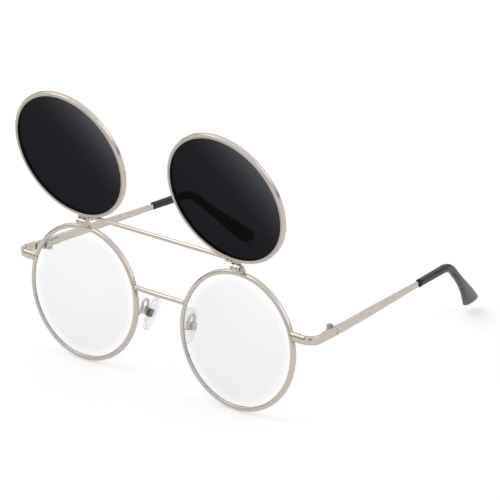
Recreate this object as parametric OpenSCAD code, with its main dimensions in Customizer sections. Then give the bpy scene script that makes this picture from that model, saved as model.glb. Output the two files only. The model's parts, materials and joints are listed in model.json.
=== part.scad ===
// Flip-up sunglasses: a round wire front with clear lenses, and a pair of
// dark lenses on one bar that swings up on two small hinges.
//
// Left and right are the wearer's. The wearer looks along -Y, so left is +X.
// The front is laid out upright with its origin midway between the two lens
// centres, and stand() then leans it back onto its rims and temple tips, as
// it rests on a table. The flip lenses are drawn raised.

/* [Front] */
// Diameter of a clear lens over its bevel
lens_d = 50.4; // [46:0.2:54]
// Distance between the two lens centres
lens_spacing = 73.2; // [70:0.2:80]
// Thickness of a clear lens
lens_t = 1.6; // [1.2:0.1:1.8]
// Rise of a lens front over its edge
lens_crown = 1.0; // [0.5:0.1:1.4]
// Depth of the groove that holds a lens bevel
groove_d = 0.5; // [0.4:0.05:0.6]
// Radial thickness of the rim wire
rim_t = 1.8; // [1.6:0.1:2.2]
// Depth of the rim wire from front to back
rim_w = 2.2; // [2.0:0.1:2.6]
// Diameter of the bridge wire
bridge_d = 1.9; // [1.6:0.1:2.4]
// Height of the bridge over the lens centres
bridge_z = 8; // [4:0.5:12]
// Bow of the bridge towards the front
bridge_bow = 1.2; // [0.6:0.1:3]
// Upward turn of that bow
bridge_lift = 20; // [0:1:35]

/* [End pieces] */
// Height of an end piece bar
end_h = 3.1; // [2.6:0.1:3.8]
// Thickness of an end piece bar and of the temple behind it
end_t = 1.8; // [1.6:0.1:2.2]
// Chamfer along the edges of the end pieces and temples
bar_chamfer = 0.3; // [0.15:0.05:0.4]
// Height of the end pieces over the lens centres
end_z = 8; // [4:0.5:10]
// Reach of an end piece past its rim before the bend
end_reach = 4.0; // [3.8:0.1:7]
// Centre radius of the end piece bend
end_bend_r = 4.2; // [3.6:0.1:6]
// Depth from the rim plane back to the temple hinge
hinge_depth = 14.5; // [13:0.5:20]
// Height of the lug on the upper rim end, over the split of the rim
lug_h = 0.9; // [0.7:0.05:1.2]
// Reach of that lug past its rim
lug_reach = 5.2; // [4.6:0.1:5.4]
// Gap in the rim that the lock screw closes
rim_gap = 0.2; // [0.15:0.05:0.4]

/* [Temples] */
// Angle by which a temple turns in towards the head
temple_in = 4.8; // [2:0.1:7]
// Upward tilt of a temple from the front
temple_rise = 1.9; // [0:0.05:3]
// Length of the bare metal of a temple
arm_len = 57; // [50:1:80]
// Height of a temple bar where its taper ends
arm_tip_h = 2.2; // [1.8:0.1:2.8]
// Length of the full-height part of a temple bar
arm_full_len = 22; // [16:1:30]
// Thickness of a temple bar where its taper ends
arm_t = 1.3; // [1.1:0.1:1.6]
// Length of the metal tang inside a sleeve
tang_len = 11; // [8:1:12]
// Straight length of a sleeve before its bend
sleeve_straight = 18.5; // [14:0.5:22]
// Radius of the bend behind the ear
ear_bend_r = 8; // [7:0.5:16]
// Angle of the bend behind the ear
ear_bend = 40; // [28:1:45]
// Length of a sleeve from the start of its bend to its end
ear_len = 43.5; // [38:0.5:52]
// Inward curl of the sleeve end
ear_curl = 4.5; // [2:0.5:8]
// Width of the flared end of a sleeve
paddle_w = 6.6; // [5:0.1:8]

/* [Temple hinges] */
// Outer diameter of a temple hinge barrel
knuckle_d = 2.6; // [2.4:0.1:3]
// Height of each of the three barrels
knuckle_h = 1.06; // [0.9:0.02:1.2]
// Diameter of the screws in all hinges
pivot_d = 1.2; // [1:0.05:1.4]
// Thickness of a hinge leaf
leaf_t = 0.7; // [0.6:0.05:0.9]
// Length of a hinge leaf along its bar
leaf_len = 6; // [5:0.5:7]

/* [Flip lenses] */
// Diameter of a dark lens over its bevel
flip_lens_d = 50.2; // [45:0.2:54]
// Thickness of a dark lens
flip_lens_t = 1.4; // [1:0.1:1.7]
// Radial thickness of a flip rim
flip_rim_t = 1.4; // [1.2:0.1:1.8]
// Depth of a flip rim from front to back
flip_rim_w = 1.9; // [1.7:0.1:2.2]
// Angle by which the flip lenses are raised from closed
flip_open = 163.5; // [0:0.5:165]
// Height of the flip pivot over the front's rim tops
flip_rise = 1.5; // [1.5:0.1:3]
// Distance of the flip pivot ahead of the rim plane
flip_ahead = 1.7; // [1.7:0.1:3]
// Distance from the flip pivot to the edge of a flip rim
flip_tab = 2.45; // [2.4:0.05:4]
// Offset of the closed flip rims ahead of their pivot
flip_offset = 0.8; // [0.75:0.05:1.5]
// Diameter of the bar that joins the flip rims
bar_d = 1.7; // [1.4:0.1:2]
// Outer diameter of a flip hinge barrel
flip_knuckle_d = 3.2; // [3:0.1:3.2]
// Width of the middle barrel of a flip hinge
flip_knuckle_w = 2.0; // [1.8:0.1:2.4]
// Width of each outer barrel of a flip hinge
flip_ear_w = 0.9; // [0.8:0.05:1.3]

/* [Nose pads] */
// Length of a nose pad
pad_len = 13.8; // [11:0.1:15]
// Width of a nose pad
pad_w = 7.6; // [6.4:0.1:8]
// Thickness of a nose pad
pad_t = 2.1; // [1.8:0.1:2.4]
// Drop of the pad boxes below the lens centres
pad_drop = 2.6; // [2:0.1:4]
// Centre radius of the loop in a pad arm
pad_loop_r = 1.55; // [1.3:0.05:1.9]
// Forward slant of the pads, lower end ahead
pad_slant = 20; // [10:1:24]
// Sideways slant of the pads, upper ends together
pad_lean = 9; // [5:1:14]
// Turn of the pads about their length
pad_turn = -8; // [-12:1:4]
// Lean of a pad arm's first leg away from the rim
pad_leg_lean = 22; // [10:1:30]
// Diameter of the pad arm wire
pad_wire_d = 1.1; // [0.9:0.05:1.3]

/* [Fits] */
// Radial play of a hinge barrel on its screw
run_gap = 0.05; // [0.03:0.01:0.1]
// Gap between the end faces of hinge barrels
face_gap = 0.1; // [0.06:0.01:0.16]
// Play between a lens and its groove
lens_gap = 0.05; // [0.02:0.01:0.08]
// Gap between the end piece and the temple when open
seam_gap = 0.2; // [0.1:0.05:0.4]
// Space that moving parts keep from fixed ones
move_gap = 0.3; // [0.25:0.05:0.4]

/* [Hidden] */
$fn = 64;
SIDES = ["left", "right"];
PAIRED = ["eyewire", "clear_lens", "end_piece", "rim_lock_screw", "front_hinge_leaf",
    "temple_hinge_screw", "temple_arm", "temple_hinge_leaf", "temple_sleeve", "pad_arm",
    "pad_box", "pad_screw", "pad_insert", "nose_pad", "flip_hinge_base",
    "flip_hinge_screw", "flip_knuckle", "flip_rim", "dark_lens"];

METAL = "#d2c8ba";
SCREW = "#b9b4ab";
CLEAR = "#f4f7f8";
DARK = "#232327";
SLEEVE = "#1b1b1e";
SILICONE = "#e9ecec";
EPS = 0.01;
RING_FN = 180;
ARC_FN = 720;
THREAD_GAP = 0.01;

// Front, measured from the midpoint between the lens centres
lens_x = lens_spacing / 2;
rim_in = lens_d / 2 - groove_d;
rim_out = rim_in + rim_t;
wire_r = rim_out - rim_w / 2;
groove_w = 1.1;
flip_rim_in = flip_lens_d / 2 - groove_d;
flip_rim_out = flip_rim_in + flip_rim_t;
flip_edge = 0.35;
band_crown = 0.175;
line_at = 0.42;
line_w = 0.24;

// End piece bar, from its rim out, round the bend and back to the seam
rim_edge_x = lens_x + sqrt(rim_out * rim_out - end_z * end_z);
end_x = rim_edge_x + end_reach;
turn = 90 + temple_in;
bend_end_x = end_x + end_bend_r * sin(turn);
bend_end_y = end_bend_r * (1 - cos(turn));
end_run = (hinge_depth - bend_end_y) / cos(temple_in);
seam_x = bend_end_x - end_run * sin(temple_in);
dimple_at = 38;
dimple_z = 0.85;
dimple_d = 0.9;

// Split of the rim and its lock screw
end_low = end_z - end_h / 2;
end_top = end_z + end_h / 2;
split_z = end_top - lug_h - rim_gap / 2;
lug_end_x = rim_edge_x + lug_reach;
lock_x = rim_edge_x + lug_reach / 2;
lock_d = 1;
lock_head_d = 1.4;
lock_head_h = 0.4;
lock_tip_gap = 0.1;

// Temple hinge, in the seam's own frame
side_gap = 0.15;
pivot_x = end_t / 2 + side_gap + knuckle_d / 2;
knuckle_pitch = knuckle_h + face_gap;
leaf_h = 2 * knuckle_pitch + knuckle_h;
leaf_bar_h = 2.3;
leaf_lap = 0.4;
leaf_clear = 0.25;
screw_head_d = 2;
screw_head_h = 0.5;
slot_w = 0.3;
slot_d = 0.25;

// Temple sleeve
tang_h = 1.5;
tang_t = 0.9;
sleeve_h = 3.1;
sleeve_t = 2.4;
sleeve_mid_h = 3.6;
sleeve_mid_t = 2.7;
sleeve_end_t = 2.2;
sleeve_start = arm_len + lens_gap;
sleeve_len = sleeve_straight + ear_len;
sleeve_cap = 3;
sleeve_flare_at = 0.45;
sleeve_flare_over = 0.5;
sleeve_power = 2.4;
cap_end = 0.1;
STRAIGHT_RINGS = 6;
BEND_RINGS = 8;
PADDLE_RINGS = 14;
CAP_RINGS = 6;
SLEEVE_SIDES = 20;
bend_len = ear_bend_r * ear_bend * PI / 180;
bend_stop = sleeve_straight + bend_len;
cap_start = sleeve_len - sleeve_cap;

// Flip hinge axis, and the flip lenses as they hang when closed
flip_y = -flip_ahead;
flip_z = rim_out + flip_rise;
flip_drop = flip_tab + flip_rim_out;
bar_sink = 0.25;
bar_drop = flip_tab + bar_sink;
ear_reach = flip_knuckle_w / 2 + face_gap + flip_ear_w;
collar_gap = 0.2;
collar_over = 0.3;
foot_t = 1.8;
foot_up = 0.5;
foot_down = 0.6;
tab_t = 1.5;
tab_w = 3.5;
tab_sink = 0.4;
EAR_BACK = 68;
EAR_FRONT = 221;
collar_start = ear_reach + collar_gap;
collar_len = 2.7;
collar_size = bar_d + collar_over;
collar_hole_d = 0.7;
flip_head_d = 2;
flip_head_h = 0.4;

// Nose pads
pad_gap = 0.35;
box_d = 2.1;
box_w = 2.2;
box_h = 2.8;
box_back = pad_t / 2 + pad_gap + box_d / 2;
tongue_t = 0.8;
tongue_h = 1.6;
tongue_play = 0.05;
plate_w = 2.7;
plate_h = 3.0;
plate_t = 0.6;
plate_depth = 0.85;
pad_screw_d = 0.9;
pad_head_d = 1.5;
pad_head_h = 0.35;
pad_rim_share = 0.35;
pad_power = 2.2;
pad_end = 0.02;
pad_flare = 0.12;
PAD_RINGS = 12;
PAD_SIDES = 18;
arm_x = lens_x - rim_out + 0.75 * rim_t;
foot_y = groove_w / 2 + 0.1;
foot_len = 1.1;
foot_z = -2.6;
foot_bend_r = 1.2;
leg_len = 3.1;
leg_y = foot_y + foot_len + foot_bend_r * cos(pad_leg_lean);
leg_z = foot_z + foot_bend_r * (1 - sin(pad_leg_lean));
loop_y = leg_y + leg_len * sin(pad_leg_lean) + pad_loop_r * cos(pad_leg_lean);
loop_z = leg_z + leg_len * cos(pad_leg_lean) - pad_loop_r * sin(pad_leg_lean);
down_len = (loop_z + pad_drop - pad_loop_r * sin(pad_slant)) / cos(pad_slant);
box_y = loop_y + pad_loop_r * cos(pad_slant) - down_len * sin(pad_slant);

// Lean of the front when the glasses stand on their rims and temple tips
sleeve_stops = [
    for (i = [0:STRAIGHT_RINGS - 1]) i * sleeve_straight / STRAIGHT_RINGS,
    for (i = [0:BEND_RINGS - 1]) sleeve_straight + i * bend_len / BEND_RINGS,
    for (i = [0:PADDLE_RINGS]) bend_stop + i * (cap_start - bend_stop) / PADDLE_RINGS,
    for (i = [1:CAP_RINGS]) cap_start + sleeve_cap * sin(90 * i / CAP_RINGS)
];
lean = min([for (l = sleeve_stops) let(
        p = sleeve_edge(l, -1),
        z = p[2] + wire_r,
        away = sqrt(p[1] * p[1] + z * z)
    ) acos(-rim_w / 2 / away) - atan2(p[1], z)]);
front_low = wire_r * cos(lean) + rim_w / 2;
swing = flip_open + lean;
flip_front = flip_y * cos(lean) + flip_z * sin(lean) - flip_offset * cos(swing)
    - flip_rim_w / 2 * abs(cos(swing)) - (flip_drop + flip_rim_out - flip_edge) * sin(swing);
front_y = min(flip_front, -wire_r * sin(lean) - rim_w / 2);
back_y = max([for (l = sleeve_stops, side = [-1, 1]) let(p = sleeve_edge(l, side))
    p[1] * cos(lean) + p[2] * sin(lean)]);
mid_y = (front_y + back_y) / 2;

// A point of the upright front, where it lies once the glasses stand
function standing(p) = [
    p[0],
    p[1] * cos(lean) + p[2] * sin(lean) - mid_y,
    p[2] * cos(lean) - p[1] * sin(lean) + front_low
];

// Centre line of a sleeve in the temple's frame: outward, back and up
function sleeve_at(l) = let(
        u = max(0, l - sleeve_straight),
        a = sleeve_slope(l),
        rest = max(0, u - bend_len),
        back = ear_bend_r * sin(a) + rest * cos(ear_bend),
        down = ear_bend_r * (1 - cos(a)) + rest * sin(ear_bend)
    ) [-ear_curl * pow(u / ear_len, 2), sleeve_start + min(l, sleeve_straight) + back, -down];

// Slope of a sleeve's centre line below its temple's direction
function sleeve_slope(l) = min(max(0, l - sleeve_straight) / ear_bend_r * 180 / PI, ear_bend);

// Half height and half thickness of a sleeve along its length
function ease(t) = let(c = max(0, min(1, t))) c * c * (3 - 2 * c);
function cap_share(l) = let(over = max(0, l - cap_start) / sleeve_cap)
    max(cap_end, sqrt(max(0, 1 - over * over)));
function sleeve_half_h(l) = cap_share(l) * (sleeve_h
    + (sleeve_mid_h - sleeve_h) * ease(l / sleeve_straight)
    + (paddle_w - sleeve_mid_h) * ease((l / sleeve_len - sleeve_flare_at) / sleeve_flare_over)) / 2;
function sleeve_half_t(l) = cap_share(l) * (sleeve_t
    + (sleeve_mid_t - sleeve_t) * ease(l / sleeve_straight)
    + (sleeve_end_t - sleeve_mid_t) * ease((l / sleeve_len - sleeve_flare_at) / sleeve_flare_over)) / 2;

// A lower (-1) or upper (1) edge of a sleeve in the frame of the upright front
function sleeve_edge(l, side) = let(
        c = sleeve_at(l),
        a = sleeve_slope(l),
        h = -side * sleeve_half_h(l),
        y = c[1] - h * sin(a),
        z = c[2] - h * cos(a),
        back = y * cos(temple_rise) - z * sin(temple_rise)
    ) [
        seam_x + c[0] * cos(temple_in) - back * sin(temple_in),
        hinge_depth + c[0] * sin(temple_in) + back * cos(temple_in),
        end_z + y * sin(temple_rise) + z * cos(temple_rise)
    ];

// A point of a superellipse of half sizes a and b
function super_point(t, a, b, n) = [
    a * sign(cos(t)) * pow(abs(cos(t)), 2 / n),
    b * sign(sin(t)) * pow(abs(sin(t)), 2 / n)
];

// Rings of points joined into one closed solid
module loft(rings) {
    n = len(rings[0]);
    m = len(rings);
    points = [for (ring = rings) each ring];
    walls = [for (i = [0:m - 2], j = [0:n - 1]) each [
        [i * n + j, i * n + (j + 1) % n, (i + 1) * n + (j + 1) % n],
        [i * n + j, (i + 1) * n + (j + 1) % n, (i + 1) * n + j]
    ]];
    caps = [[for (j = [n - 1:-1:0]) j], [for (j = [0:n - 1]) (m - 1) * n + j]];
    polyhedron(points, concat(walls, caps), convexity = 6);
}

// The whole object as it rests on a table
module stand() {
    translate([0, -mid_y, front_low]) rotate([-lean, 0, 0]) children();
}

// One side's pieces, drawn for the wearer's left and mirrored for the right
module on_side(s) {
    mirror([s == "right" ? 1 : 0, 0, 0]) children();
}

// A ring in the rim plane, from a profile of radius and depth
module ring_at(x) {
    translate([x, 0, 0]) rotate([90, 0, 0]) rotate_extrude($fn = RING_FN) children();
}

// Disc inside a ring, used to trim what is brazed on its outside
module middle_at(x, r, w) {
    translate([x, 0, 0]) rotate([90, 0, 0]) cylinder(r = r, h = w, center = true, $fn = RING_FN);
}

// Cylinder along X between two points
module rod_x(x0, x1, d) {
    translate([x0, 0, 0]) rotate([0, 90, 0]) cylinder(h = x1 - x0, d = d);
}

// Screw along Z with its slotted head below z0 and its tip at z1
module slotted_screw(z0, z1, d, head_d = screw_head_d, head_h = screw_head_h) {
    translate([0, 0, z0 - EPS]) cylinder(h = z1 - z0 + EPS, d = d);
    difference() {
        translate([0, 0, z0 - head_h]) cylinder(h = head_h, d = head_d);
        translate([-head_d, -slot_w / 2, z0 - head_h - EPS]) cube([2 * head_d, slot_w, slot_d]);
    }
}

// Corners of a chamfered bar section of half sizes x and y
function bar_points(x, y) = let(c = bar_chamfer) [
    [x, c - y], [x, y - c], [x - c, y], [c - x, y],
    [-x, y - c], [-x, c - y], [c - x, -y], [x - c, -y]
];

// The V that holds a lens bevel, cut into a rim from inside
module groove_profile(inner) {
    polygon([[inner - 1, -groove_w], [inner - 1, groove_w], [inner, groove_w / 2],
        [inner + groove_d + lens_gap, 0], [inner, -groove_w / 2]]);
}

// Rim wire section: round outside, flat inside, with the lens groove
module wire_profile() {
    difference() {
        intersection() {
            translate([wire_r, 0]) circle(d = rim_w);
            translate([rim_in, -rim_w / 2]) square([rim_t, rim_w]);
        }
        groove_profile(rim_in);
    }
}

// Flat-banded section of a flip rim, with a fine line turned into each face
module band_profile() {
    crown_d = flip_rim_w + 2 * band_crown;
    difference() {
        intersection() {
            translate([flip_rim_out + band_crown - crown_d / 2, 0]) circle(d = crown_d);
            translate([flip_rim_in, -flip_rim_w / 2]) square([flip_rim_t, flip_rim_w]);
        }
        groove_profile(flip_rim_in);
        for (s = [-1, 1]) translate([flip_rim_in + line_at, s * flip_rim_w / 2])
            circle(d = line_w, $fn = 16);
    }
}

// Shallow domed lens with a bevelled edge, in the rim plane of a ring at x
module lens_at(x, inner, t, crown) {
    edge = inner - lens_gap;
    r = (edge * edge + crown * crown) / (2 * crown);
    bevel_w = groove_w - 2 * lens_gap;
    half_angle = asin((edge + 1) / (r - t));
    intersection() {
        translate([x, r - crown, 0]) rotate([0, 0, -90 - half_angle])
            rotate_extrude(angle = 2 * half_angle, $fn = ARC_FN) intersection() {
                difference() {
                    circle(r = r + t / 2, $fn = ARC_FN);
                    circle(r = r - t / 2, $fn = ARC_FN);
                }
                translate([r / 2, -edge - 1]) square([r, 2 * edge + 2]);
            }
        ring_at(x) polygon([[0, -t], [edge, -t], [edge, -bevel_w / 2], [edge + groove_d, 0],
            [edge, bevel_w / 2], [edge, t + crown], [0, t + crown]]);
    }
}

// The bare ring of one rim, whole
module rim_ring() {
    ring_at(lens_x) wire_profile();
}

// Rim wire, split at the temple side, with the lug of its upper end
module eyewire() {
    color(METAL) difference() {
        union() {
            rim_ring();
            difference() {
                intersection() {
                    end_bar();
                    translate([lens_x, -rim_w, split_z + rim_gap / 2])
                        cube([lug_end_x - lens_x, 2 * rim_w, lug_h]);
                }
                middle_at(lens_x, wire_r, 2 * rim_w);
            }
        }
        translate([lens_x + rim_in - rim_t, -rim_w, split_z - rim_gap / 2])
            cube([2 * rim_t, 2 * rim_w, rim_gap]);
        lock_bore();
    }
}

// Clear lens, domed to the front
module clear_lens() {
    color(CLEAR, 0.3) lens_at(lens_x, rim_in, lens_t, lens_crown);
}

// Bridge wire, bowed forward and a little up between the rims
module bridge() {
    half = lens_x - sqrt(wire_r * wire_r - bridge_z * bridge_z);
    r = (half * half + bridge_bow * bridge_bow) / (2 * bridge_bow);
    sweep = asin(half / r);
    color(METAL) difference() {
        translate([0, 0, bridge_z]) rotate([-bridge_lift, 0, 0])
            translate([0, r - bridge_bow, 0]) rotate([0, 0, -90 - sweep])
            rotate_extrude(angle = 2 * sweep, $fn = 360) translate([r, 0]) circle(d = bridge_d);
        for (s = SIDES) on_side(s) {
            rim_ring();
            middle_at(lens_x, wire_r, 4 * rim_w);
        }
    }
}

// Section of an end piece
module end_section() {
    polygon(bar_points(end_t / 2, end_h / 2));
}

// End piece bar: out from the rim, round a bend and back to the seam
module end_bar() {
    translate([0, 0, end_z]) {
        translate([lens_x + wire_r - rim_w, 0, 0]) rotate([90, 0, 90])
            linear_extrude(end_x - lens_x - wire_r + rim_w + EPS) end_section();
        translate([end_x, end_bend_r, 0]) rotate([0, 0, -90])
            rotate_extrude(angle = turn, $fn = 120) translate([end_bend_r, 0]) end_section();
        translate([bend_end_x, bend_end_y, 0]) rotate([0, 0, temple_in])
            translate([0, -EPS, 0]) rotate([90, 0, 180])
            linear_extrude(end_run - seam_gap / 2 + EPS) end_section();
    }
}

// Bore of the lock screw, threaded in the lug
module lock_bore() {
    translate([lock_x, 0, end_low - EPS])
        cylinder(h = end_h + 2 * EPS, d = lock_d + 2 * THREAD_GAP);
}

// End piece, stepped down beside the lug and recessed for the screw head
module end_piece() {
    color(METAL) difference() {
        end_bar();
        rim_ring();
        middle_at(lens_x, wire_r, 2 * rim_w);
        translate([lens_x, -rim_w, split_z - rim_gap / 2])
            cube([lug_end_x + rim_gap - lens_x, 2 * rim_w, end_h]);
        lock_bore();
        translate([lock_x, 0, end_low - EPS])
            cylinder(h = lock_head_h + EPS, d = lock_head_d + 2 * THREAD_GAP);
        translate([end_x, end_bend_r, end_z + dimple_z]) rotate([90, 0, dimple_at])
            translate([0, 0, end_bend_r + end_t / 2 - dimple_d / 2]) cylinder(h = 1, d = dimple_d);
    }
}

// Screw that draws the rim closed round its lens, driven from below
module rim_lock_screw() {
    color(SCREW) translate([lock_x, 0, 0]) slotted_screw(end_low + lock_head_h,
        end_top - lock_tip_gap, lock_d, lock_head_d, lock_head_h);
}

// The seam's own frame: +Y back along the temple, +X outward
module at_seam() {
    translate([seam_x, hinge_depth, end_z]) rotate([0, 0, temple_in]) children();
}

// The temple's frame, tilted up from the seam
module at_temple() {
    at_seam() rotate([temple_rise, 0, 0]) children();
}

// A hinge leaf with barrels at the given levels, running back along +Y
module hinge_leaf(levels, bore_d) {
    inner = -end_t / 2;
    clear_y = knuckle_d / 2 + leaf_clear;
    difference() {
        union() {
            translate([inner - leaf_t, clear_y, -leaf_bar_h / 2])
                cube([leaf_t, leaf_len - clear_y, leaf_bar_h]);
            for (k = levels) translate([0, 0, k * knuckle_pitch - knuckle_h / 2]) {
                translate([-pivot_x, 0, 0]) cylinder(h = knuckle_h, d = knuckle_d);
                translate([inner - leaf_t, 0, 0]) cube([leaf_t, clear_y + leaf_lap, knuckle_h]);
            }
        }
        translate([-pivot_x, 0, -leaf_h]) cylinder(h = 2 * leaf_h, d = bore_d);
    }
}

// Fixed leaf with the upper and lower barrels
module front_hinge_leaf() {
    color(METAL) at_seam() mirror([0, 1, 0]) hinge_leaf([-1, 1], pivot_d + 2 * THREAD_GAP);
}

// Moving leaf with the middle barrel
module temple_hinge_leaf() {
    color(METAL) at_seam() hinge_leaf([0], pivot_d + 2 * run_gap);
}

// Temple hinge screw, head up
module temple_hinge_screw() {
    color(SCREW) at_seam() translate([-pivot_x, 0, 0]) mirror([0, 0, 1])
        slotted_screw(-leaf_h / 2, leaf_h / 2, pivot_d);
}

// The same section of a temple bar at a distance along it
function arm_ring(s, t, h) = [for (p = bar_points(t / 2, h / 2)) [p[0], s, p[1]]];

// Temple bar: full height behind the hinge, then a long taper and the tang
module temple_arm() {
    color(METAL) at_temple() {
        loft([
            arm_ring(seam_gap / 2, end_t, end_h),
            arm_ring(arm_full_len, end_t, end_h),
            arm_ring(arm_len, arm_t, arm_tip_h)
        ]);
        translate([-tang_t / 2, arm_len - EPS, -tang_h / 2]) cube([tang_t, tang_len + EPS, tang_h]);
    }
}

// Black sleeve over the tang, bent down behind the ear and flared at its end
module temple_sleeve() {
    rings = [for (l = sleeve_stops) let(
            c = sleeve_at(l),
            a = sleeve_slope(l),
            h = sleeve_half_h(l),
            t = sleeve_half_t(l)
        ) [for (j = [0:SLEEVE_SIDES - 1])
            let(p = super_point(j * 360 / SLEEVE_SIDES, t, h, sleeve_power))
            c + [p[0], p[1] * sin(a), p[1] * cos(a)]]];
    color(SLEEVE) at_temple() difference() {
        loft(rings);
        translate([-tang_t / 2 - lens_gap, arm_len - EPS, -tang_h / 2 - lens_gap])
            cube([tang_t + 2 * lens_gap, tang_len + lens_gap + EPS, tang_h + 2 * lens_gap]);
    }
}

// Frame of one pad: +Z up its length, +X outward to the centre of its box
module at_pad_box() {
    translate([arm_x, box_y, -pad_drop]) rotate([-pad_slant, -pad_lean, 0])
        rotate([0, 0, pad_turn]) children();
}

// The same frame at the middle of the pad
module at_pad() {
    at_pad_box() translate([-box_back, 0, 0]) children();
}

// Soft pad, an oval with a crowned face
module nose_pad() {
    rings = [for (i = [0:PAD_RINGS]) let(
            t = -90 + i * 180 / PAD_RINGS,
            w = max(pad_end, cos(t)) * (1 + pad_flare * sin(t)) * pad_w / 2,
            h = pad_t / 2 * (pad_rim_share + (1 - pad_rim_share) * sqrt(max(0, cos(t))))
        ) [for (j = [0:PAD_SIDES - 1])
            let(p = super_point(-j * 360 / PAD_SIDES, h, w, pad_power))
            [p[0], p[1], sin(t) * pad_len / 2]]];
    color(SILICONE, 0.6) at_pad() difference() {
        loft(rings);
        insert_space(lens_gap);
    }
}

// Space of the plate moulded into a pad, open to the pad's back
module insert_space(gap) {
    translate([pad_t / 2 - plate_depth - gap, -plate_w / 2 - gap, -plate_h / 2 - gap])
        cube([pad_t, plate_w + 2 * gap, plate_h + 2 * gap]);
}

// Cross bore of a pad box or of the tongue in it
module pad_bore(d) {
    rotate([90, 0, 0]) cylinder(h = 2 * box_w, d = d, center = true, $fn = 32);
}

// Plate moulded into the pad, with the tongue that the pad screw holds
module pad_insert() {
    color(METAL) at_pad_box() difference() {
        union() {
            translate([-box_back, 0, 0]) intersection() {
                insert_space(0);
                translate([pad_t / 2 - plate_depth, -pad_w / 2, -pad_len / 2])
                    cube([plate_t, pad_w, pad_len]);
            }
            translate([pad_t / 2 - plate_depth + plate_t - EPS - box_back, -tongue_t / 2,
                -tongue_h / 2])
                cube([box_back - pad_t / 2 + plate_depth - plate_t + EPS, tongue_t, tongue_h]);
            rotate([90, 0, 0]) cylinder(h = tongue_t, d = tongue_h, center = true, $fn = 32);
        }
        pad_bore(pad_screw_d + 2 * run_gap);
    }
}

// The plain block of a pad box
module pad_block() {
    at_pad_box() cube([box_d, box_w, box_h], center = true);
}

// Slotted box at the end of the pad arm
module pad_box() {
    mouth_w = tongue_t + 2 * tongue_play;
    mouth_h = tongue_h + 2 * move_gap;
    color(METAL) difference() {
        pad_block();
        at_pad_box() {
            translate([-box_d, -mouth_w / 2, -mouth_h / 2])
                cube([box_d + tongue_h / 2 + tongue_play, mouth_w, mouth_h]);
            pad_bore(pad_screw_d + 2 * THREAD_GAP);
        }
    }
}

// Cross screw of a pad box
module pad_screw() {
    color(SCREW) at_pad_box() rotate([90, 0, 0])
        slotted_screw(-box_w / 2, box_w / 2, pad_screw_d, pad_head_d, pad_head_h);
}

// Straight run of pad arm wire in the plane of the arm, leaning by an angle
module arm_run(y, z, slope, length) {
    translate([y, z, 0]) rotate([0, 90, slope]) cylinder(h = length, d = pad_wire_d);
}

// Bend of pad arm wire round a centre in the plane of the arm
module arm_turn(y, z, r, from, sweep) {
    translate([y, z, 0]) rotate([0, 0, from])
        rotate_extrude(angle = sweep) translate([r, 0]) circle(d = pad_wire_d);
}

// Wire from the back of the rim, up and over in a loop, down to the pad box
module pad_arm() {
    color(METAL) difference() {
        translate([arm_x, 0, 0]) rotate([90, 0, 90]) {
            arm_run(foot_y, foot_z, 0, foot_len);
            arm_turn(foot_y + foot_len, foot_z + foot_bend_r, foot_bend_r, -90, 90 - pad_leg_lean);
            arm_run(leg_y, leg_z, 90 - pad_leg_lean, leg_len);
            arm_turn(loop_y, loop_z, pad_loop_r, -pad_slant, 180 + pad_slant - pad_leg_lean);
            arm_run(box_y, -pad_drop, 90 - pad_slant, down_len);
        }
        rim_ring();
        pad_block();
    }
}

// Flip hinge, in the frame of one rim's top: the axis runs along X
module at_flip_hinge() {
    translate([lens_x, flip_y, flip_z]) children();
}

// Outline of one outer barrel and its web down to the rim
module ear_outline() {
    r = flip_knuckle_d / 2;
    circle(r = r);
    polygon([
        [r * cos(EAR_BACK), r * sin(EAR_BACK)],
        [flip_ahead + foot_t / 2, foot_up - flip_rise],
        [flip_ahead + foot_t / 2, -foot_down - flip_rise],
        [flip_ahead - foot_t / 2, -foot_down - flip_rise],
        [r * cos(EAR_FRONT), r * sin(EAR_FRONT)]
    ]);
}

// Fixed part of a flip hinge: a foot on the rim and two outer barrels
module flip_hinge_base() {
    color(METAL) difference() {
        at_flip_hinge() difference() {
            union() {
                for (s = [-1, 1])
                    translate([s * (ear_reach - flip_ear_w / 2), 0, 0]) rotate([90, 0, 90])
                        linear_extrude(flip_ear_w, center = true) ear_outline();
                translate([-ear_reach, flip_ahead - foot_t / 2, -foot_down - flip_rise])
                    cube([2 * ear_reach, foot_t, foot_up + foot_down]);
            }
            rod_x(-flip_knuckle_w / 2 - face_gap, flip_knuckle_w / 2 + face_gap,
                flip_knuckle_d + 2 * move_gap);
            rod_x(-2 * ear_reach, 2 * ear_reach, pivot_d + 2 * THREAD_GAP);
        }
        rim_ring();
        middle_at(lens_x, wire_r, 4 * rim_w);
    }
}

// Flip hinge screw, head on the temple side
module flip_hinge_screw() {
    color(SCREW) at_flip_hinge() rotate([0, -90, 0])
        slotted_screw(-ear_reach, ear_reach, pivot_d, flip_head_d, flip_head_h);
}

// Everything on the flip bar: drawn as it hangs when closed, then raised
module raised() {
    translate([0, flip_y, flip_z]) rotate([-flip_open, 0, 0]) children();
}

// The bare band of one flip rim, whole, and the disc inside it
module flip_ring() {
    translate([0, -flip_offset, -flip_drop]) ring_at(lens_x) band_profile();
}
module flip_inside() {
    translate([0, -flip_offset, -flip_drop])
        middle_at(lens_x, flip_rim_out - flip_edge, 4 * flip_rim_w);
}

// Flip rim, one closed band that the dark lens snaps into
module flip_rim() {
    color(METAL) raised() flip_ring();
}

// Dark lens, domed to the front when closed
module dark_lens() {
    color(DARK) raised() translate([0, -flip_offset, -flip_drop])
        lens_at(lens_x, flip_rim_in, flip_lens_t, lens_crown);
}

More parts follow.
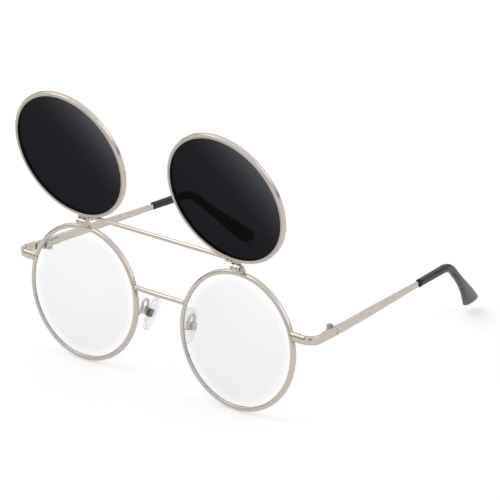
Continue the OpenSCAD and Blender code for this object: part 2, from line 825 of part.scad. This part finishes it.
// Middle barrel of a flip hinge, with its tab and foot on the flip rim
module flip_knuckle() {
    half = flip_knuckle_w / 2;
    front = -flip_offset - tab_t / 2;
    low = -flip_tab - tab_sink;
    color(METAL) raised() difference() {
        union() {
            translate([lens_x, 0, 0]) rod_x(-half, half, flip_knuckle_d);
            translate([lens_x - half, front, low]) cube([2 * half, tab_t, -low]);
            translate([lens_x - tab_w / 2, front, low])
                cube([tab_w, tab_t, -low - flip_knuckle_d / 2 - move_gap]);
        }
        translate([lens_x, 0, 0]) rod_x(-ear_reach, ear_reach, pivot_d + 2 * run_gap);
        flip_ring();
        flip_inside();
    }
}

// Bar that joins the two flip rims, with a collar brazed on at each end
module flip_bar() {
    half = lens_x - collar_start - collar_len;
    color(METAL) raised() difference() {
        translate([0, -flip_offset, -bar_drop]) {
            rod_x(-half - EPS, half + EPS, bar_d);
            for (s = SIDES) on_side(s) translate([half, 0, 0]) difference() {
                translate([0, -collar_size / 2, -collar_size / 2])
                    cube([collar_len, collar_size, collar_size]);
                translate([collar_len / 2, 0, 0]) rotate([90, 0, 0])
                    cylinder(h = 2 * collar_size, d = collar_hole_d, $fn = 24, center = true);
            }
        }
        for (s = SIDES) on_side(s) {
            flip_ring();
            flip_inside();
        }
    }
}

stand() bridge();
stand() flip_bar();
for (s = SIDES) {
    stand() on_side(s) eyewire();
    stand() on_side(s) clear_lens();
    stand() on_side(s) end_piece();
    stand() on_side(s) rim_lock_screw();
    stand() on_side(s) front_hinge_leaf();
    stand() on_side(s) temple_hinge_screw();
    stand() on_side(s) temple_arm();
    stand() on_side(s) temple_hinge_leaf();
    stand() on_side(s) temple_sleeve();
    stand() on_side(s) pad_arm();
    stand() on_side(s) pad_box();
    stand() on_side(s) pad_screw();
    stand() on_side(s) pad_insert();
    stand() on_side(s) nose_pad();
    stand() on_side(s) flip_hinge_base();
    stand() on_side(s) flip_hinge_screw();
    stand() on_side(s) flip_knuckle();
    stand() on_side(s) flip_rim();
    stand() on_side(s) dark_lens();
}
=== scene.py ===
import json
import math

import bmesh
import bpy
import numpy as np
from mathutils import Matrix, Quaternion, Vector


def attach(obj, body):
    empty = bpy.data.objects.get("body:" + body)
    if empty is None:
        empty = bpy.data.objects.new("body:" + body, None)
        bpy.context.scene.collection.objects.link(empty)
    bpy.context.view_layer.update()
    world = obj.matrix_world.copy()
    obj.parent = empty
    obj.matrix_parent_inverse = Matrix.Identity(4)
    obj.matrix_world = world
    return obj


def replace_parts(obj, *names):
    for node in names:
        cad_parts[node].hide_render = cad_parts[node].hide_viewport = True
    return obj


# Looks of the flip-up sunglasses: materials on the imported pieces, smooth
# sleeves and soft pads in place of their plain solids, camera, floor and light.
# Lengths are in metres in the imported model's own frame.

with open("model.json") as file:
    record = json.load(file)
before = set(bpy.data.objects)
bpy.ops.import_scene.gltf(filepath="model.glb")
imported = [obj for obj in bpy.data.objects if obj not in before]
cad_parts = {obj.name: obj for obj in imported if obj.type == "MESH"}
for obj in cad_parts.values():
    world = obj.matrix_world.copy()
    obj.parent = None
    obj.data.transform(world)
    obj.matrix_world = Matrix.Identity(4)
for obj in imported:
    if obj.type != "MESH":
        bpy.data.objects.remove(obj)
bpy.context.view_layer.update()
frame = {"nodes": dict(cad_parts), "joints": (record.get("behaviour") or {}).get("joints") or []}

SIDES = ("left", "right")
MM = 0.001

# Camera of the photograph, as the object rests on its rims and sleeve tips
CAMERA_AIM = Vector((0.00304, -0.00735, 0.03614))
CAMERA_AWAY = 1.134
CAMERA_AZIMUTH = math.radians(39.37)
CAMERA_ELEVATION = math.radians(23.08)
CAMERA_ROLL = math.radians(-1.42)
CAMERA_LENS = 217.7
CAMERA_SENSOR = 36
CAMERA_CLIP = (0.05, 50)

# Plated metal, with the shares of painted shade along its edges and in its recesses
CHAMPAGNE = (0.66, 0.605, 0.54)
CHAMPAGNE_WARM = (0.70, 0.625, 0.545)
STEEL = (0.60, 0.575, 0.54)
INSERT = (0.2, 0.19, 0.18)
TINT_SCALE = 160
POLISH_SCALE = 2400
POLISH_STRETCH = (1, 1, 0.25)
POLISH_STRENGTH = 0.08
POLISH_DEPTH = 0.02 * MM
POLISH_ROUGHNESS = (-0.05, 0.07)
FRAME_EDGE = 0.28 * MM
SMALL_EDGE = 0.1 * MM
EDGE_GAIN = 6.0
EDGE_SHADE_SHARE = 0.8
EDGE_SHADE_DARK = 0.5
RECESS_REACH = 0.8 * MM
RECESS_SHADE_SHARE = 1.1
RIM_RECESS_SHADE_SHARE = 0.1
RECESS_SHADE_DARK = 0.3

# Lenses
LENS_SLANT = (0.52, 0.48)
# clear lens: grey of the painted shade graded across it, and its pale end
CLEAR_GREY = (0.845, 0.85, 0.85)
CLEAR_PALE = (0.955, 0.955, 0.95)
# painted highlight: near-white band at the clear lens edge, and where it begins and ends
CLEAR_EDGE_HIGHLIGHT = (0.995, 0.995, 0.995)
CLEAR_EDGE_HIGHLIGHT_FROM = 0.82
CLEAR_EDGE_HIGHLIGHT_TO = 0.99
CLEAR_CLOUDS = 38
CLEAR_CLOUD_SHARE = 1.2
CLEAR_SHADOW = (0.96, 0.96, 0.96, 1)
# dark lens: deep tint, and the paler tint of a painted reflection towards one edge
DARK_DEEP = (0.0095, 0.0092, 0.012)
DARK_REFLECTED = (0.098, 0.1, 0.11)
DARK_FROM = 0.44
DARK_TO = 0.88
DARK_CURVE = 3.0

# Black sleeves and clear silicone
SLEEVE_BLACK = (0.012, 0.012, 0.013)
SLEEVE_RUBBED = (0.021, 0.021, 0.023)
MOTTLE_DEPTH = 0.03 * MM
BODY_COOL = (0.87, 0.87, 0.9)
BODY_PALE = (0.92, 0.92, 0.945)
# painted shade: grey along the brink of the silicone pad
BRINK_SHADE_GREY = (0.66, 0.66, 0.7)
BRINK_REACH = 0.9 * MM
BRINK_GAIN = 5.0
SKIN_SHARE = 0.6
SKIN_PALE = (0.93, 0.93, 0.95)
# the same painted shade at the brink, in the light let through the pad
SKIN_BRINK_SHADE = (0.7, 0.7, 0.74)


def aim_camera():
    """Camera at the photograph's place, with its slight roll."""
    back = Vector((
        math.sin(CAMERA_AZIMUTH) * math.cos(CAMERA_ELEVATION),
        -math.cos(CAMERA_AZIMUTH) * math.cos(CAMERA_ELEVATION),
        math.sin(CAMERA_ELEVATION),
    ))
    data = bpy.data.cameras.new("camera")
    data.lens = CAMERA_LENS
    data.sensor_width = CAMERA_SENSOR
    data.clip_start = CAMERA_CLIP[0]
    data.clip_end = CAMERA_CLIP[1]
    camera = bpy.data.objects.new("camera", data)
    bpy.context.scene.collection.objects.link(camera)
    camera.rotation_mode = "QUATERNION"
    camera.location = CAMERA_AIM + back * CAMERA_AWAY
    level = (-back).to_track_quat("-Z", "Y")
    camera.rotation_quaternion = level @ Quaternion((0, 0, 1), CAMERA_ROLL)
    bpy.context.scene.camera = camera


class Nodes:
    """Short way to add and link the nodes of one material or world."""

    def __init__(self, tree):
        self.tree = tree
        tree.nodes.clear()

    def fill(self, socket, value):
        if isinstance(value, bpy.types.NodeSocket):
            self.tree.links.new(value, socket)
        else:
            socket.default_value = value

    def add(self, kind, inputs=None, **settings):
        node = self.tree.nodes.new(kind)
        for name, value in settings.items():
            setattr(node, name, value)
        for name, value in (inputs or {}).items():
            self.fill(node.inputs[name], value)
        return node

    def math(self, operation, *values):
        node = self.add("ShaderNodeMath", operation=operation)
        for socket, value in zip(node.inputs, values):
            self.fill(socket, value)
        return node.outputs[0]

    def vector(self, operation, *values):
        node = self.add("ShaderNodeVectorMath", operation=operation)
        for socket, value in zip(node.inputs, values):
            self.fill(socket, value)
        return next(s for s in node.outputs if s.enabled)

    def span(self, value, low, high):
        """The value's 0 to 1 spread over low to high."""
        return self.add("ShaderNodeMapRange",
                        {"Value": value, "To Min": low, "To Max": high}).outputs[0]

    def rise(self, value, low, high, curve="LINEAR"):
        """The value's low to high spread over 0 to 1."""
        return self.add("ShaderNodeMapRange",
                        {"Value": value, "From Min": low, "From Max": high},
                        interpolation_type=curve).outputs[0]

    def noise(self, scale, detail=3.0, stretch=(1, 1, 1)):
        place = self.add("ShaderNodeTexCoord").outputs["Object"]
        if stretch != (1, 1, 1):
            place = self.add("ShaderNodeMapping",
                             {"Vector": place, "Scale": stretch}).outputs[0]
        return self.add("ShaderNodeTexNoise",
                        {"Vector": place, "Scale": scale, "Detail": detail}).outputs[0]

    def mix(self, share, a, b):
        node = self.add("ShaderNodeMix", data_type="RGBA")
        for name, value in (("Factor", share), ("A", a), ("B", b)):
            if isinstance(value, tuple):
                value = (*value, 1)
            self.fill(next(s for s in node.inputs if s.name == name and s.enabled), value)
        return next(s for s in node.outputs if s.enabled)


def new_material(name):
    material = bpy.data.materials.new(name)
    material.use_nodes = True
    nodes = Nodes(material.node_tree)
    return material, nodes


def finish_material(nodes, shader):
    nodes.add("ShaderNodeOutputMaterial", {"Surface": shader.outputs[0]})


def darker(colour, share):
    return tuple(share * c for c in colour)


def near_edge(n, reach, gain):
    """The normal rounded over the edges, and a value that rises to 1 at them."""
    rounded = n.add("ShaderNodeBevel", {"Radius": reach}, samples=6).outputs[0]
    true_normal = n.add("ShaderNodeNewGeometry").outputs["Normal"]
    facing = n.vector("DOT_PRODUCT", rounded, true_normal)
    away = n.math("MULTIPLY", n.math("SUBTRACT", 1.0, facing), gain)
    return rounded, n.math("MINIMUM", away, 1.0)


def metal(name, colour, warm, roughness, edge, recess_shade_share=RECESS_SHADE_SHARE):
    """Polished plated metal: faint tint drift, polishing marks, painted shade along its edges and
    in its recesses.
    """
    material, n = new_material(name)
    drift = n.noise(scale=TINT_SCALE)
    marks = n.noise(scale=POLISH_SCALE, detail=4, stretch=POLISH_STRETCH)
    soft_edge, at_edge = near_edge(n, edge, EDGE_GAIN)
    fine = n.add("ShaderNodeBump", {
        "Strength": POLISH_STRENGTH, "Distance": POLISH_DEPTH,
        "Height": marks, "Normal": soft_edge,
    }).outputs[0]
    # painted shade: a thin darker line along every edge of the metal
    edge_shade = n.math("MULTIPLY", at_edge, n.span(drift, 0.5, 1.0))
    tint = n.mix(n.span(drift, 0.0, 1.0), colour, warm)
    tint = n.mix(n.math("MULTIPLY", edge_shade, EDGE_SHADE_SHARE), tint, darker(colour, EDGE_SHADE_DARK))
    # painted shade: the colour darkens in recesses and between parts, from ambient occlusion
    open_share = n.add("ShaderNodeAmbientOcclusion",
                       {"Distance": RECESS_REACH}, samples=8).outputs["AO"]
    recess_shade = n.math("MULTIPLY", n.math("SUBTRACT", 1.0, open_share), recess_shade_share)
    tint = n.mix(n.math("MINIMUM", recess_shade, 1.0), tint, darker(colour, RECESS_SHADE_DARK))
    smoothest, dullest = POLISH_ROUGHNESS
    shader = n.add("ShaderNodeBsdfPrincipled", {
        "Base Color": tint, "Metallic": 1.0, "Normal": fine,
        "Roughness": n.span(marks, roughness + smoothest, roughness + dullest),
    })
    finish_material(n, shader)
    return material


def across_lens(n):
    """Rises from the lower right to the upper left edge of a lens, as its wearer names them."""
    place = n.add("ShaderNodeTexCoord").outputs["Generated"]
    axes = n.add("ShaderNodeSeparateXYZ", {0: place})
    return n.math("ADD", n.math("MULTIPLY", axes.outputs["X"], LENS_SLANT[0]),
                  n.math("MULTIPLY", axes.outputs["Z"], LENS_SLANT[1]))


def towards_edge(n):
    """0 over the middle of a clear lens, rising to 1 at its edge."""
    place = n.add("ShaderNodeTexCoord").outputs["Generated"]
    spread = n.vector("SUBTRACT", place, (0.5, 0.5, 0.5))
    flat = n.vector("MULTIPLY", spread, (2.0, 0.0, 2.0))
    away = n.vector("LENGTH", flat)
    return n.rise(away, CLEAR_EDGE_HIGHLIGHT_FROM, CLEAR_EDGE_HIGHLIGHT_TO, "SMOOTHSTEP")


def clear_glass(name):
    """Clear lens: a trace of smudge, painted grey shade graded across it with random clouds, and a
    painted highlight that whitens its edge.
    """
    material, n = new_material(name)
    smudge = n.noise(scale=70, detail=5)
    clouds = n.math("MULTIPLY", n.noise(scale=CLEAR_CLOUDS, detail=2), CLEAR_CLOUD_SHARE)
    # painted shade: grey graded across the lens, broken by random clouds
    graded_shade = n.mix(n.math("MULTIPLY", across_lens(n), clouds), CLEAR_GREY, CLEAR_PALE)
    # painted highlight: the lens whitens towards its edge
    glass = n.add("ShaderNodeBsdfPrincipled", {
        "Base Color": n.mix(towards_edge(n), graded_shade, CLEAR_EDGE_HIGHLIGHT),
        "Transmission Weight": 1.0, "IOR": 1.5,
        "Roughness": n.span(smudge, 0.0, 0.03),
    })
    through = n.add("ShaderNodeBsdfTransparent", {"Color": CLEAR_SHADOW})
    lamps = n.add("ShaderNodeLightPath").outputs["Is Shadow Ray"]
    both = n.add("ShaderNodeMixShader",
                 {0: lamps, 1: glass.outputs[0], 2: through.outputs[0]})
    finish_material(n, both)
    return material


def dark_glass(name):
    """Deep grey lens with little sheen, its tint paler towards one edge as a painted reflection.
    """
    material, n = new_material(name)
    haze = n.noise(scale=60, detail=4)
    # painted reflection: the tint grows paler towards the lens's upper left edge, as its wearer
    # names it
    painted_reflection = n.math("POWER", n.rise(across_lens(n), DARK_FROM, DARK_TO), DARK_CURVE)
    shader = n.add("ShaderNodeBsdfPrincipled", {
        "Base Color": n.mix(painted_reflection, DARK_DEEP, DARK_REFLECTED),
        "Transmission Weight": 1.0, "IOR": 1.1,
        "Roughness": n.span(haze, 0.0, 0.05),
    })
    finish_material(n, shader)
    return material


def sleeve_plastic(name):
    """Black acetate: glossy with faint handling marks."""
    material, n = new_material(name)
    mottle = n.noise(scale=900, detail=3)
    rub = n.noise(scale=120, detail=4)
    bump = n.add("ShaderNodeBump", {
        "Strength": 0.06, "Distance": MOTTLE_DEPTH, "Height": mottle,
    }).outputs[0]
    shader = n.add("ShaderNodeBsdfPrincipled", {
        "Base Color": n.mix(rub, SLEEVE_BLACK, SLEEVE_RUBBED),
        "Roughness": n.span(rub, 0.13, 0.25), "Normal": bump, "IOR": 1.42,
        "Coat Weight": 0.2, "Coat Roughness": 0.08,
    })
    finish_material(n, shader)
    return material


def silicone(name):
    """Clear silicone with a faint bloom on its skin, and painted grey shade along its brink."""
    material, n = new_material(name)
    bloom = n.noise(scale=450, detail=4)
    _, brink_shade = near_edge(n, BRINK_REACH, BRINK_GAIN)
    body = n.mix(bloom, BODY_COOL, BODY_PALE)
    # painted shade: the pad turns grey along its brink, in its surface and in the light let
    # through
    glass = n.add("ShaderNodeBsdfPrincipled", {
        "Base Color": n.mix(brink_shade, body, BRINK_SHADE_GREY),
        "Transmission Weight": 0.88, "IOR": 1.36,
        "Roughness": n.span(bloom, 0.04, 0.12),
    })
    through = n.add("ShaderNodeBsdfTransparent",
                    {"Color": n.mix(brink_shade, SKIN_PALE, SKIN_BRINK_SHADE)})
    lamps = n.add("ShaderNodeLightPath").outputs["Is Shadow Ray"]
    both = n.add("ShaderNodeMixShader", {
        0: n.math("MAXIMUM", lamps, SKIN_SHARE),
        1: glass.outputs[0], 2: through.outputs[0],
    })
    finish_material(n, both)
    return material


def dress_frame(looks):
    """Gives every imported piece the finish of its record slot."""
    for name, node in frame["nodes"].items():
        slot = node.data.materials[0].name.split(".")[0]
        if name.startswith("pad_insert"):
            slot = "insert"
        if name.startswith("eyewire"):
            slot = "eyewire"
        node.data.materials.clear()
        node.data.materials.append(looks[slot])


def mesh_points(node):
    return np.array([v.co for v in frame["nodes"][node].data.vertices], float)


def joint(name):
    return next(j for j in frame["joints"] if j["name"] == name)


def loft_mesh(name, rings, looks, slot):
    """One closed smooth mesh through rings of points."""
    count = len(rings[0])
    bm = bmesh.new()
    layers = [[bm.verts.new(p) for p in ring] for ring in rings]
    for a, b in zip(layers, layers[1:]):
        for j in range(count):
            k = (j + 1) % count
            bm.faces.new((a[j], a[k], b[k], b[j]))
    for layer in (layers[0][::-1], layers[-1]):
        bm.faces.new(layer)
    bmesh.ops.recalc_face_normals(bm, faces=bm.faces)
    for face in bm.faces:
        face.smooth = len(face.verts) == 4
    mesh = bpy.data.meshes.new(name)
    bm.to_mesh(mesh)
    bm.free()
    mesh.materials.append(looks[slot])
    piece = bpy.data.objects.new(name, mesh)
    bpy.context.scene.collection.objects.link(piece)
    return piece


def super_point(turn, a, b, power):
    """Point of a superellipse with the half axes a and b."""
    c = math.cos(turn)
    s = math.sin(turn)
    return (a * math.copysign(abs(c) ** (2 / power), c),
            b * math.copysign(abs(s) ** (2 / power), s))


def ease(t):
    """0 to 1 with a level start and end."""
    t = min(1.0, max(0.0, t))
    return t * t * (3 - 2 * t)


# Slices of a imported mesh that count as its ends
HINGE_SLICE = 0.4 * MM
END_SLICE = 0.1 * MM


def temple_frame(side):
    """Origin at the tang's end, +Y back along the temple, +X outward."""
    points = mesh_points(f"temple_arm_{side}")
    up = Vector(joint(f"temple_hinge_{side}")["axis"])
    if up.z < 0:
        up = -up
    along = points[:, 1]
    front = Vector(points[along < along.min() + HINGE_SLICE].mean(0))
    back = Vector(points[along > along.max() - END_SLICE].mean(0))
    y_axis = (back - front).normalized()
    out = y_axis.cross(up).normalized()
    if (out.x < 0) == (side == "left"):
        out = -out
    z_axis = out.cross(y_axis) * (1 if side == "left" else -1)
    basis = Matrix((out, y_axis, z_axis)).transposed().to_4x4()
    basis.translation = back
    return basis


# Sleeve: straight over the tang, bent behind the ear, flared. The solid has much the
# same path with a tighter bend, and its flare has no twist and no slant. SLEEVE_H and
# SLEEVE_T are the height and thickness at the start, past the swell and at the tip.
TANG_LEN = 11 * MM
SLEEVE_STRAIGHT = 17.4 * MM
EAR_BEND_R = 11.2 * MM
EAR_BEND = math.radians(41.2)
EAR_LEN = 43 * MM
EAR_CURL = 6.2 * MM
SLEEVE_LEN = SLEEVE_STRAIGHT + EAR_LEN
SLEEVE_CAP = 3 * MM
SLEEVE_TIP = 0.1
SLEEVE_H = (3.1 * MM, 3.3 * MM, 6.8 * MM)
SLEEVE_T = (2.4 * MM, 2.7 * MM, 2.6 * MM)
SLEEVE_SQUARE = 2.4
FLARE_AT = 0.5
FLARE_OVER = 0.5
PADDLE_TWIST = math.radians(15)
PADDLE_SLANT = 0.75
SLEEVE_RINGS = 90
SLEEVE_SIDES = 36
RING_CROWDING = 1.6


def sleeve(side, looks):
    """Smooth sleeve in place of the plain one."""
    place = temple_frame(side)
    rings = []
    for i in range(SLEEVE_RINGS + 1):
        # rings crowd towards the rounded tip
        share = i / SLEEVE_RINGS
        at = SLEEVE_LEN * (1 - (1 - share) ** RING_CROWDING)
        past = max(0.0, at - SLEEVE_STRAIGHT)
        slope = min(past / EAR_BEND_R, EAR_BEND)
        rest = max(0.0, past - EAR_BEND_R * EAR_BEND)
        centre = Vector((
            -EAR_CURL * (past / EAR_LEN) ** 2,
            min(at, SLEEVE_STRAIGHT) + EAR_BEND_R * math.sin(slope) + rest * math.cos(EAR_BEND)
            - TANG_LEN,
            -EAR_BEND_R * (1 - math.cos(slope)) - rest * math.sin(EAR_BEND),
        ))
        over = max(0.0, at - SLEEVE_LEN + SLEEVE_CAP) / SLEEVE_CAP
        cap = math.sqrt(max(SLEEVE_TIP ** 2, 1 - over * over))
        swell = ease(at / SLEEVE_STRAIGHT)
        flare = ease((at / SLEEVE_LEN - FLARE_AT) / FLARE_OVER)
        twist = PADDLE_TWIST * flare
        half_h, half_t = (
            cap * (start + (middle - start) * swell + (end - middle) * flare) / 2
            for start, middle, end in (SLEEVE_H, SLEEVE_T))
        ring = []
        for j in range(SLEEVE_SIDES):
            x, z = super_point(2 * math.pi * j / SLEEVE_SIDES, half_t, half_h, SLEEVE_SQUARE)
            out = x * math.cos(twist) + z * math.sin(twist)
            up = z * math.cos(twist) - x * math.sin(twist)
            on = PADDLE_SLANT * flare * up
            ring.append(place @ (centre + Vector((
                out,
                up * math.sin(slope) + on * math.cos(slope),
                up * math.cos(slope) - on * math.sin(slope),
            ))))
        rings.append(ring)
    piece = loft_mesh(f"sleeve_{side}", rings, looks, "sleeve")
    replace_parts(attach(piece, f"temple_{side}"), f"temple_sleeve_{side}")


# Nose pad, a drop-shaped oval with a crowned face
PAD_LEN = 13.2 * MM
PAD_W = 7.6 * MM
PAD_T = 2.1 * MM
PAD_FLARE = 0.12
PAD_ROUND = 2.7
PAD_SQUARE = 2.2
PAD_BRINK = 0.35
PAD_POINT = 0.02
PAD_RINGS = 40
PAD_SIDES = 36


def pad_frame(side):
    """Centre of a pad with +Z up its length and +X towards its box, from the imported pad."""
    points = np.unique(np.round(mesh_points(f"nose_pad_{side}"), 7), axis=0)
    along = np.linalg.svd(points - points.mean(0), full_matrices=False)[2][0]
    height = points @ (along if along[2] > 0 else -along)
    low = Vector(points[height < height.min() + END_SLICE].mean(0))
    high = Vector(points[height > height.max() - END_SLICE].mean(0))
    centre = (low + high) / 2
    z_axis = (high - low).normalized()
    hinge = joint(f"nose_pad_rock_{side}")
    y_axis = Vector(hinge["axis"])
    y_axis = (y_axis - z_axis * y_axis.dot(z_axis)).normalized()
    x_axis = y_axis.cross(z_axis)
    if x_axis.dot(Vector(hinge["pos_m"]) - centre) < 0:
        x_axis = -x_axis
    basis = Matrix((x_axis, y_axis, z_axis)).transposed().to_4x4()
    basis.translation = centre
    return basis


def nose_pad(side, looks):
    """Soft clear pad in the space of its plain solid."""
    place = pad_frame(side)
    rings = []
    for i in range(PAD_RINGS + 1):
        t = math.pi * (i / PAD_RINGS - 0.5)
        end = max(0.0, 1 - abs(math.sin(t)) ** PAD_ROUND) ** (1 / PAD_ROUND)
        half_w = max(PAD_POINT, end) * (1 + PAD_FLARE * math.sin(t)) * PAD_W / 2
        crown = math.sqrt(max(0.0, math.cos(t)))
        half_t = PAD_T / 2 * (PAD_BRINK + (1 - PAD_BRINK) * crown)
        ring = []
        for j in range(PAD_SIDES):
            x, y = super_point(2 * math.pi * j / PAD_SIDES, half_t, half_w, PAD_SQUARE)
            ring.append(place @ Vector((x, y, math.sin(t) * PAD_LEN / 2)))
        rings.append(ring)
    piece = loft_mesh(f"soft_pad_{side}", rings, looks, "nose_pad")
    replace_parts(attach(piece, f"pad_{side}"), f"nose_pad_{side}")


# Studio
FLOOR_SIZE = 6.0
FLOOR_DROP = 0.0002
FLOOR_DULL = (0.755, 0.755, 0.755)
FLOOR_PALE = (0.765, 0.765, 0.765)
FLOOR_LIFT = 0.385
MIRRORED_FLOOR_LIFT = 0.18
WHITE = (1, 1, 1)
PLAIN_LIGHT = (0.70, 0.70, 0.70)
MIRRORED_LOW = (0.30, 0.30, 0.30, 1)
MIRRORED_HIGH = (0.88, 0.90, 0.93, 1)
MIRRORED_BETWEEN = ((0.07, 0.24), (0.22, 0.74), (0.45, 0.92))
MIRRORED_CAST = (0.98, 1.0, 1.03)
LAMP_AIM = (0, 0, 0.05)


def seen_straight(n):
    """1 for rays straight from the camera or through a lens, else 0."""
    path = n.add("ShaderNodeLightPath")
    return n.math("MAXIMUM", path.outputs["Is Camera Ray"], path.outputs["Is Transmission Ray"])


def seen_mirrored(n):
    return n.add("ShaderNodeLightPath").outputs["Is Glossy Ray"]


def studio_floor():
    """Pale floor that reads as white and keeps a soft shadow."""
    mesh = bpy.data.meshes.new("floor")
    half = FLOOR_SIZE / 2
    corners = [(x * half, y * half, -FLOOR_DROP)
               for x, y in ((-1, -1), (1, -1), (1, 1), (-1, 1))]
    mesh.from_pydata(corners, [], [(0, 1, 2, 3)])
    floor = bpy.data.objects.new("floor", mesh)
    bpy.context.scene.collection.objects.link(floor)
    material, n = new_material("floor")
    tooth = n.noise(scale=6, detail=4)
    paint = n.add("ShaderNodeBsdfDiffuse", {"Color": n.mix(tooth, FLOOR_DULL, FLOOR_PALE)})
    lift = n.math("MAXIMUM", n.math("MULTIPLY", seen_straight(n), FLOOR_LIFT),
                  n.math("MULTIPLY", seen_mirrored(n), MIRRORED_FLOOR_LIFT))
    glow = n.add("ShaderNodeEmission", {"Color": (*WHITE, 1), "Strength": lift})
    finish_material(n, n.add("ShaderNodeAddShader", {0: paint.outputs[0], 1: glow.outputs[0]}))
    mesh.materials.append(material)


def studio_world():
    """Even light on the surfaces, white behind them, a dark horizon for metal to mirror."""
    world = bpy.data.worlds.new("studio")
    world.use_nodes = True
    bpy.context.scene.world = world
    n = Nodes(world.node_tree)
    direction = n.add("ShaderNodeTexCoord").outputs["Generated"]
    height = n.add("ShaderNodeSeparateXYZ", {0: direction}).outputs["Z"]
    ramp = n.add("ShaderNodeValToRGB", {"Fac": height})
    stops = ramp.color_ramp.elements
    stops[0].color = MIRRORED_LOW
    stops[1].color = MIRRORED_HIGH
    for place, level in MIRRORED_BETWEEN:
        stops.new(place).color = (*(level * c for c in MIRRORED_CAST), 1)
    mirrored = n.mix(seen_mirrored(n), PLAIN_LIGHT, ramp.outputs[0])
    colour = n.mix(seen_straight(n), mirrored, WHITE)
    back = n.add("ShaderNodeBackground", {"Color": colour, "Strength": 1.0})
    n.add("ShaderNodeOutputWorld", {"Surface": back.outputs[0]})


def softbox(name, place, size, power):
    """Square area lamp aimed at the glasses."""
    data = bpy.data.lights.new(name, "AREA")
    data.shape = "RECTANGLE"
    data.size = size
    data.size_y = size
    data.energy = power
    lamp = bpy.data.objects.new(name, data)
    lamp.location = place
    lamp.rotation_mode = "QUATERNION"
    lamp.rotation_quaternion = (Vector(LAMP_AIM) - Vector(place)).to_track_quat("-Z", "Y")
    bpy.context.scene.collection.objects.link(lamp)


def studio_lamps():
    softbox("key", place=(-1.3, -0.7, 2.0), size=1.8, power=12)
    softbox("fill", place=(1.8, 0.5, 1.5), size=1.4, power=5)


def main():
    aim_camera()
    looks = {
        "frame_metal": metal("frame_metal", CHAMPAGNE, CHAMPAGNE_WARM, 0.17, FRAME_EDGE),
        "eyewire": metal("eyewire", CHAMPAGNE, CHAMPAGNE_WARM, 0.17, FRAME_EDGE, RIM_RECESS_SHADE_SHARE),
        "screw_steel": metal("screw_steel", STEEL, STEEL, 0.22, SMALL_EDGE),
        "insert": metal("insert", INSERT, INSERT, 0.3, SMALL_EDGE),
        "clear_lens": clear_glass("clear_lens"),
        "dark_lens": dark_glass("dark_lens"),
        "sleeve": sleeve_plastic("sleeve"),
        "nose_pad": silicone("nose_pad"),
    }
    dress_frame(looks)
    for side in SIDES:
        sleeve(side, looks)
        nose_pad(side, looks)
    studio_floor()
    studio_world()
    studio_lamps()
    bpy.context.scene.view_settings.view_transform = "Standard"


main()
